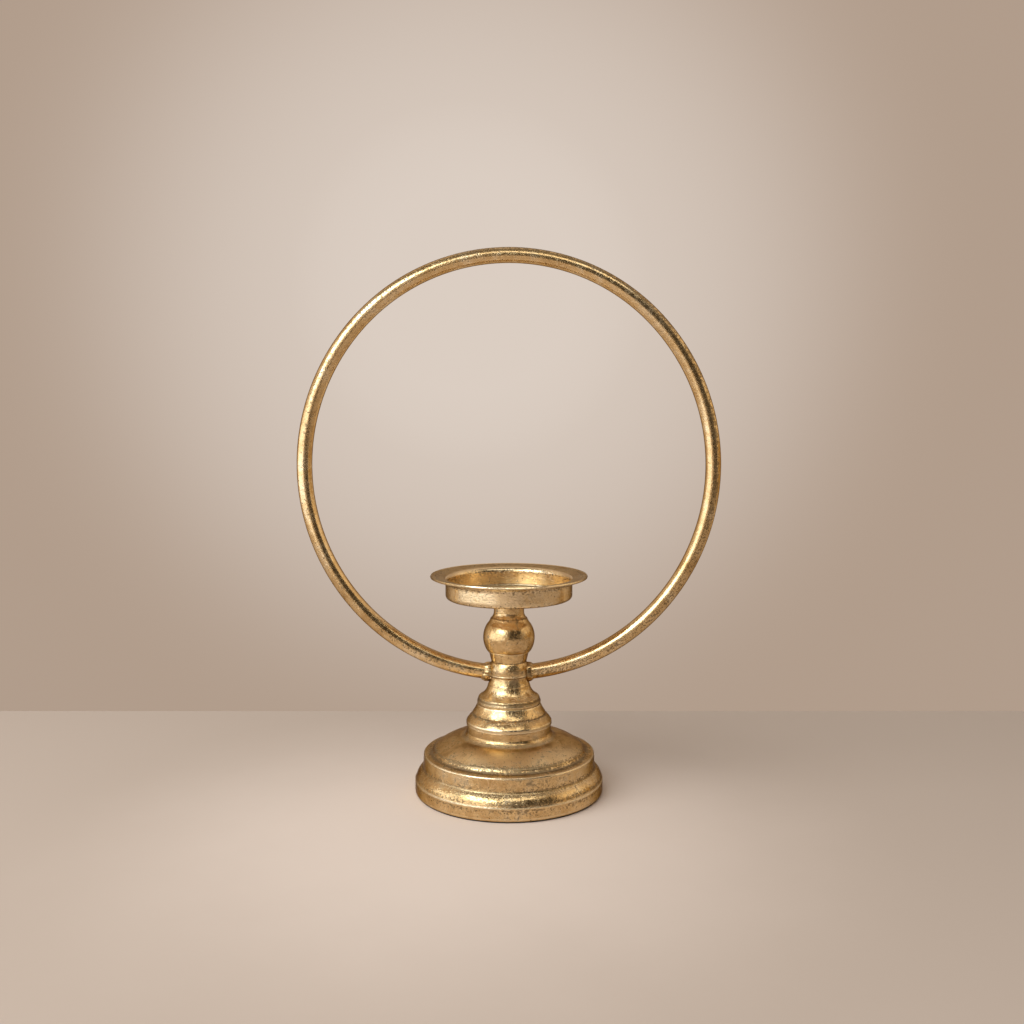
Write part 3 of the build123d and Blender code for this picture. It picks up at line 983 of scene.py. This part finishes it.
class CANDLERING_OT_welds(bpy.types.Operator):
    """Make the weld beads where the hoop meets the hub"""

    bl_idname = "candle_ring.welds"
    bl_label = "Welds"

    bead_points = 28
    bead_steps = 120
    lump_scale, fine_lump_scale, pit_scale = 0.38, 0.85, 0.42  # per millimetre
    pit_size = 0.32  # part of the distance between pits
    pattern_shift = 7.0  # millimetres, so that the two beads differ
    widest = 0.95  # part of the hub's radius

    def execute(self, context):
        hoop, stem = settings().hoop, settings().stem
        centre, shift, end_arc = hoop_arcs(hoop)
        angle = math.asin(stem.lip_radius / end_arc)
        base = Matrix.Translation((0.0, 0.0, centre - shift))
        mesh = bmesh.new()
        for side, rough, stretch in ((-1, 1.0, 1.9), (1, 0.45, 1.3)):
            made = self.bead(mesh, hoop, side, rough)
            self.fit(made, stem.lip_radius, side, stretch)
            turn = base @ Matrix.Rotation(-side * angle, 4, "Y")
            turn @= Matrix.Translation((0.0, 0.0, -end_arc))
            bmesh.ops.transform(mesh, matrix=turn, verts=made)
        bmesh.ops.recalc_face_normals(mesh, faces=mesh.faces[:])
        place_piece(mesh, "weld_beads", "ring_welds", "weld", "weld_gold_leaf")
        return {"FINISHED"}

    def bead(self, mesh, hoop, side, rough):
        """One lumpy, pitted bead round the X axis."""
        before = set(mesh.verts)
        reach = hoop.tube_radius - hoop.bead_sink
        arm = Matrix.Translation((0.0, 0.0, reach)) @ Matrix.Rotation(math.pi / 2, 4, "X")
        ring = draw_circle(mesh, self.bead_points, hoop.bead, arm)
        spin_round(mesh, ring, (1.0, 0.0, 0.0), self.bead_steps)
        made = list(set(mesh.verts) - before)
        for vert in made:
            around = vert.co.yz.normalized() * reach
            swell = vert.co - Vector((0.0, around.x, around.y))
            spot = vert.co / MM + Vector((side * self.pattern_shift, 0.0, 0.0))
            lumps = noise.noise(spot * self.lump_scale)
            lumps += 0.5 * noise.noise(spot * self.fine_lump_scale)
            nearest = noise.voronoi(spot * self.pit_scale)[0][0]
            pits = max(0.0, 1.0 - nearest / self.pit_size)
            proud = hoop.bead_lumps * lumps - hoop.bead_pits * pits
            vert.co += swell.normalized() * rough * proud
        return made

    def fit(self, verts, hub_radius, side, stretch):
        """Draws a bead out along the tube and bends it to the round of the hub."""
        for vert in verts:
            if side * vert.co.x > 0.0:
                vert.co.x *= stretch
            across = min(abs(vert.co.y), self.widest * hub_radius)
            vert.co.x -= side * (hub_radius - math.sqrt(hub_radius**2 - across**2))


class CANDLERING_OT_upper_stem(bpy.types.Operator):
    """Make the upper stem, a turned ball and a post"""

    bl_idname = "candle_ring.upper_stem"
    bl_label = "Upper stem"

    def execute(self, context):
        stem, edge = settings().stem, settings().edge
        tail_foot = HUB_TOP - stem.tail_height
        rod_bore, rod_end = 0.55 * stem.tail_radius, ROD_HIGH.z + 1.0 * MM
        screw_mouth, screw_bore = 0.68 * stem.post_radius, 0.31 * stem.post_radius
        screw_end = POST_TOP - 1.6 * stem.post_radius
        line = Outline(rod_bore, tail_foot)
        line.line_to(stem.tail_radius, tail_foot)
        line.line(0.0, stem.tail_height)
        line.line_to(stem.hub_top_radius, HUB_TOP, 0.5 * edge)
        line.soil_and_shade(0.7, 1.8)
        line.line(stem.flare_radius - stem.hub_top_radius, stem.flare_height, 0.5 * edge)
        line.soil_and_shade(0.6, 1.2)
        line.step_to(stem.ring_bead_radius)
        line.soil_and_shade(-0.8, 0.9)
        line.arc(0.0, stem.ring_bead_height, stem.ring_bead_bulge)
        line.soil_and_shade(0.6, 1.0)
        line.step_to(stem.ball_foot_radius, 0.7 * edge)
        line.arc_to(stem.ball_top_radius, stem.ball_height, stem.ball_bulge)
        hollow = -stem.ridge_cove_depth
        line.arc_to(stem.ridge_radius, stem.ridge_cove_height, hollow, 0.5 * edge)
        line.step_to(stem.throat_radius)
        line.soil_and_shade(0.5, 1.2)
        line.arc_to(stem.post_radius, stem.throat_height, -stem.throat_sag, edge)
        line.lines_to(
            (stem.post_radius, POST_TOP),
            (screw_mouth, POST_TOP),
            (screw_bore, POST_TOP - (screw_mouth - screw_bore)),
            (screw_bore, screw_end),
            (0.0, screw_end),
            (0.0, rod_end),
            (rod_bore, rod_end),
        )
        place_piece(line.turn(), "ball_and_post", "upper_stem", "gilt", "antique_gold_leaf")
        return {"FINISHED"}


class CANDLERING_OT_pan(bpy.types.Operator):
    """Make the candle pan, with its flange and curled edge"""

    bl_idname = "candle_ring.pan"
    bl_label = "Candle pan"

    def execute(self, context):
        pan, edge = settings().pan, settings().edge
        floor = POST_TOP + pan.sheet
        hole = pan.dimple_radius - pan.dimple_depth
        line = Outline(hole, floor - pan.dimple_depth)
        line.line(pan.dimple_depth, pan.dimple_depth, pan.sheet)
        line.line_to(pan.radius, floor, pan.corner)
        line.line(0.0, pan.wall, edge)
        line.arc(pan.bend_width, pan.bend_height, -pan.bend_bulge, edge)
        flange = Vector((pan.flange_width, 0.0, pan.flange_rise))
        along = flange.normalized()
        across = Vector((along.z, 0.0, -along.x)) * pan.sheet
        seat = math.sqrt(pan.curl**2 - (pan.sheet / 2) ** 2)
        curl_start = line.tip.co + flange - along * seat
        line.line_to(curl_start.x, curl_start.z, 0.3 * pan.curl)
        line.soil_and_shade(0.5, 5.5)
        line.arc(across.x, across.z, -(pan.curl + seat), 0.3 * pan.curl)
        line.soil_and_shade(-0.8, 1.6)
        wall, wall_top = pan.radius + pan.sheet, floor + pan.wall
        bend = Vector((pan.radius + pan.bend_width, 0.0, wall_top + pan.bend_height)) + across
        line.line_to(bend.x, bend.z, pan.sheet / 2)
        line.line_to(wall, wall_top, pan.sheet / 2)
        # Painted shadow: brown marks on the wall under the flange, where the flange's shadow falls.
        line.soil_and_shade(0.55, 2.2)
        line.line_to(wall, POST_TOP, pan.corner + pan.sheet)
        line.soil_and_shade(0.6, 3.0)
        slope = pan.sheet * (math.sqrt(2) - 1)
        line.line_to(pan.dimple_radius + slope, POST_TOP, pan.sheet)
        line.line_to(hole, POST_TOP - pan.dimple_depth - slope)
        mesh = line.turn()
        self.mark_inside(mesh, pan, floor)
        # The outside gets a paler copy of the leaf and the inside a lighter one still, both painted
        # light.
        finishes = ("even_gold_leaf", "clear_gold_leaf")
        place_piece(mesh, "candle_dish", "candle_pan", "gilt", *finishes)
        return {"FINISHED"}

    def mark_inside(self, mesh, pan, floor):
        """Gives the second finish, a lighter copy of the leaf painted as light, to the faces inside
        the pan.
        """
        reach, low = pan.radius + pan.bend_width / 2, floor - pan.sheet / 2
        for face in mesh.faces:
            spot = face.calc_center_median()
            inside = spot.xy.length < reach and spot.z > low
            inwards = face.normal.dot(Vector((spot.x, spot.y, -pan.radius))) < 0.0
            face.material_index = int(inside and inwards)


class CANDLERING_OT_fixings(bpy.types.Operator):
    """Make the threaded tie rod, and finish the nut, the washers and the pan's screw"""

    bl_idname = "candle_ring.fixings"
    bl_label = "Fixings"

    steps_per_turn = 24
    merge_distance = 0.01 * MM
    flank, crest = 0.45, 0.1  # parts of the thread's pitch

    def execute(self, context):
        fixings = settings().fixings
        pitch = fixings.thread_pitch
        radius = ROD_HIGH.x
        root = radius - fixings.thread_depth
        turns = math.floor((ROD_HIGH.z - ROD_LOW.z) / pitch) - 1
        mesh = bmesh.new()
        height = ROD_LOW.z
        spot = mesh.verts.new((root, 0.0, height))
        for place, up in ((radius, self.flank), (radius, self.crest), (root, self.flank)):
            height += up * pitch
            spot = bmesh.ops.extrude_vert_indiv(mesh, verts=[spot])["verts"][0]
            spot.co = (place, 0.0, height)
        bmesh.ops.spin(
            mesh,
            geom=mesh.verts[:] + mesh.edges[:],
            cent=(0.0, 0.0, 0.0),
            axis=(0.0, 0.0, 1.0),
            dvec=(0.0, 0.0, pitch / self.steps_per_turn),
            angle=2 * math.pi * turns,
            steps=self.steps_per_turn * turns,
        )
        bmesh.ops.remove_doubles(mesh, verts=mesh.verts[:], dist=self.merge_distance)
        bmesh.ops.holes_fill(mesh, edges=mesh.edges[:], sides=0)
        bmesh.ops.recalc_face_normals(mesh, faces=mesh.faces[:])
        place_piece(mesh, "threaded_rod", "tie_rod", "steel", "zinc_plate")
        for node in ("base_washer", "spring_washer", "base_nut"):
            give_finish(node, "zinc_plate")
        give_finish("pan_screw", "antique_gold_leaf")
        return {"FINISHED"}


# Cards that the metal mirrors: name, place, width and height, tone, strength, and the radius
# outside which a card fades, if it does.
CARDS = (
    ("window_card", (-0.88, -0.98, 1.12), (1.9, 1.9), (0.86, 0.94, 1.0, 1.0), 6.4, 0.30),
    ("sill_card", (-0.64, -0.38, 0.20), (1.2, 0.4), (0.97, 0.97, 1.0, 1.0), 1.75, None),
    ("front_card", (0.61, -1.10, 0.45), (1.6, 1.5), (1.0, 0.8, 0.6, 1.0), 0.05, None),
    ("side_card", (1.50, -0.20, 0.55), (1.4, 1.4), (1.0, 0.80, 0.55, 1.0), 0.95, None),
    ("low_card", (1.30, 0.05, 0.12), (1.3, 0.45), (1.0, 0.62, 0.22, 1.0), 0.42, None),
    ("over_card", (0.20, -0.87, 1.33), (1.3, 0.65), (1.0, 0.94, 0.83, 1.0), 2.0, None),
    ("ceiling_card", (0.0, -0.45, 1.50), (2.6, 1.4), (1.0, 0.82, 0.62, 1.0), 0.2, None),
)


class CANDLERING_OT_stage(bpy.types.Operator):
    """Set the floor, the backdrop, the lamp, the cards and the camera"""

    bl_idname = "candle_ring.stage"
    bl_label = "Stage"

    floor_half = 2.0
    lit_spot = (-0.03, -0.07, 0.0)
    glow_way = Vector((-0.035, 1.0, 0.087)).normalized()
    soft_strength = 0.75
    aim = Vector((0.0, 0.0, 0.13))

    def execute(self, context):
        stage = settings().stage
        self.floor(stage)
        self.backdrop(stage)
        self.lamp("window", (-0.98, -0.98, 1.12), (1.9, 1.5), 30.0, (1.0, 0.98, 0.95))
        for card in CARDS:
            self.card(*card)
        camera = bpy.data.cameras.new("photo_view")
        camera.sensor_width = 36.0
        camera.lens = stage.lens
        viewer = bpy.data.objects.new("photo_view", camera)
        viewer.location = (stage.camera_side, -stage.camera_back, stage.camera_height)
        viewer.rotation_euler = (math.pi / 2 - stage.pitch, 0.0, 0.0)
        context.scene.collection.objects.link(viewer)
        context.scene.camera = viewer
        context.scene.view_settings.view_transform = "Standard"
        return {"FINISHED"}

    def floor(self, stage):
        """A pale floor that ends where the backdrop begins, painted brighter round the foot as a
        pool of light and darker further off.
        """
        mesh = bmesh.new()
        bmesh.ops.create_grid(mesh, x_segments=1, y_segments=1, size=self.floor_half)
        forward = (0.0, stage.floor_end - self.floor_half, 0.0)
        bmesh.ops.translate(mesh, verts=mesh.verts[:], vec=forward)
        look = Finish("pale_floor")
        clouds = look.times(look.cloud(9.0, 5.0, 0.55), 0.05)
        away = look.measure("DISTANCE", look.place, self.lit_spot)
        # Painted pool of light, fading out from the lit spot.
        far = look.between(look.plus(away, clouds), 0.06, 0.30)
        look.set(
            Base_Color=look.blend(far, stage.floor, stage.floor_far),
            Roughness=0.9,
            Specular_IOR_Level=0.0,
        )
        self.stand("floor", mesh, look.material)

    def backdrop(self, stage):
        """A pale world with a painted glow of light behind the hoop and painted shade in a ring
        round it, and with a soft light of its own.
        """
        world = bpy.data.worlds.new("backdrop")
        bpy.context.scene.world = world
        look = Nodes(world)
        way = look.add("ShaderNodeTexCoord").outputs["Generated"]
        ahead = look.measure("DOT_PRODUCT", way, self.glow_way)
        tone = look.add("ShaderNodeValToRGB", Fac=ahead)
        ramp = tone.color_ramp
        ramp.interpolation = "B_SPLINE"
        room, glow = ramp.elements
        room.position, room.color = 0.50, stage.room
        glow.position, glow.color = 0.99, stage.glow
        # Painted shade: the darker backdrop tone in a ring round the glow.
        for place in (0.68, 0.90, 0.945):
            ramp.elements.new(place).color = stage.backdrop
        soft = look.add(
            "ShaderNodeBackground", Color=stage.soft_light, Strength=self.soft_strength
        )
        seen = look.add("ShaderNodeBackground", Color=tone.outputs["Color"])
        path = look.add("ShaderNodeLightPath")
        mirrored = look.most(path.outputs["Is Glossy Ray"], path.outputs["Is Transmission Ray"])
        either = look.add("ShaderNodeMixShader")
        look.give(either.inputs[0], look.most(path.outputs["Is Camera Ray"], mirrored))
        look.give(either.inputs[1], soft.outputs["Background"])
        look.give(either.inputs[2], seen.outputs["Background"])
        look.add("ShaderNodeOutputWorld", Surface=either.outputs["Shader"])

    def turned_from(self, place):
        """The turn that makes a lamp or a card face the stem."""
        return (self.aim - Vector(place)).to_track_quat("-Z", "Y")

    def lamp(self, name, place, extent, power, tint):
        """A soft lamp that faces the stem."""
        light = bpy.data.lights.new(name, "AREA")
        light.shape = "RECTANGLE"
        light.size, light.size_y = extent
        light.energy = power
        light.color = tint
        holder = bpy.data.objects.new(name, light)
        holder.visible_glossy = False
        holder.location = place
        holder.rotation_euler = self.turned_from(place).to_euler()
        bpy.context.scene.collection.objects.link(holder)

    def card(self, name, place, extent, tone, strength, core):
        """A card that faces the stem and that only the metal mirrors."""
        mesh = bmesh.new()
        bmesh.ops.create_grid(mesh, x_segments=1, y_segments=1, size=0.5)
        bmesh.ops.scale(mesh, verts=mesh.verts[:], vec=(*extent, 1.0))
        turn = Matrix.Translation(place) @ self.turned_from(place).to_matrix().to_4x4()
        bmesh.ops.transform(mesh, matrix=turn, verts=mesh.verts[:])
        look = Finish(name)
        if core:
            away = look.measure("DISTANCE", look.place, place)
            strength = look.between(away, core, extent[0] / 2, strength, 0.0)
        look.set(
            Base_Color=(0.0, 0.0, 0.0, 1.0),
            Roughness=1.0,
            Emission_Color=tone,
            Emission_Strength=strength,
        )
        card = self.stand(name, mesh, look.material)
        card.visible_camera = False
        card.visible_diffuse = False
        card.visible_shadow = False

    def stand(self, name, mesh, material):
        """Puts a piece of the stage in the scene."""
        data = bpy.data.meshes.new(name)
        mesh.to_mesh(data)
        mesh.free()
        data.materials.append(material)
        piece = bpy.data.objects.new(name, data)
        bpy.context.scene.collection.objects.link(piece)
        return piece


class CANDLERING_PT_sidebar(bpy.types.Panel):
    """Lists the pieces of the candle ring"""

    bl_idname = "CANDLERING_PT_sidebar"
    bl_label = "Candle Ring"
    bl_space_type = "VIEW_3D"
    bl_region_type = "UI"
    bl_category = "Candle Ring"

    def draw(self, context):
        for operator in OPERATORS:
            self.layout.operator(operator.bl_idname)
        for group in ("foot", "stem", "pan", "hoop", "fixings", "finish", "stage"):
            box = self.layout.box()
            box.label(text=group.title())
            values = getattr(context.scene.candle_ring, group)
            for name in values.__annotations__:
                box.prop(values, name)


OPERATORS = (
    CANDLERING_OT_stage,
    CANDLERING_OT_felt,
    CANDLERING_OT_foot,
    CANDLERING_OT_lower_stem,
    CANDLERING_OT_hub,
    CANDLERING_OT_hoop,
    CANDLERING_OT_welds,
    CANDLERING_OT_upper_stem,
    CANDLERING_OT_pan,
    CANDLERING_OT_fixings,
)

CLASSES = (
    CandleRingFoot,
    CandleRingStem,
    CandleRingPan,
    CandleRingHoop,
    CandleRingFixings,
    CandleRingFinish,
    CandleRingStage,
    CandleRingSettings,
    *OPERATORS,
    CANDLERING_PT_sidebar,
)


def register():
    """Adds the classes and the settings to Blender."""
    for part in CLASSES:
        bpy.utils.register_class(part)
    bpy.types.Scene.candle_ring = PointerProperty(type=CandleRingSettings)


def unregister():
    """Takes the settings and the classes out again."""
    del bpy.types.Scene.candle_ring
    for part in reversed(CLASSES):
        bpy.utils.unregister_class(part)


def main():
    """Builds the candle ring and its stage."""
    register()
    bpy.ops.candle_ring.stage()
    bpy.ops.candle_ring.felt()
    bpy.ops.candle_ring.foot()
    bpy.ops.candle_ring.lower_stem()
    bpy.ops.candle_ring.hub()
    bpy.ops.candle_ring.hoop()
    bpy.ops.candle_ring.welds()
    bpy.ops.candle_ring.upper_stem()
    bpy.ops.candle_ring.pan()
    bpy.ops.candle_ring.fixings()


if __name__ == "__main__":
    main()
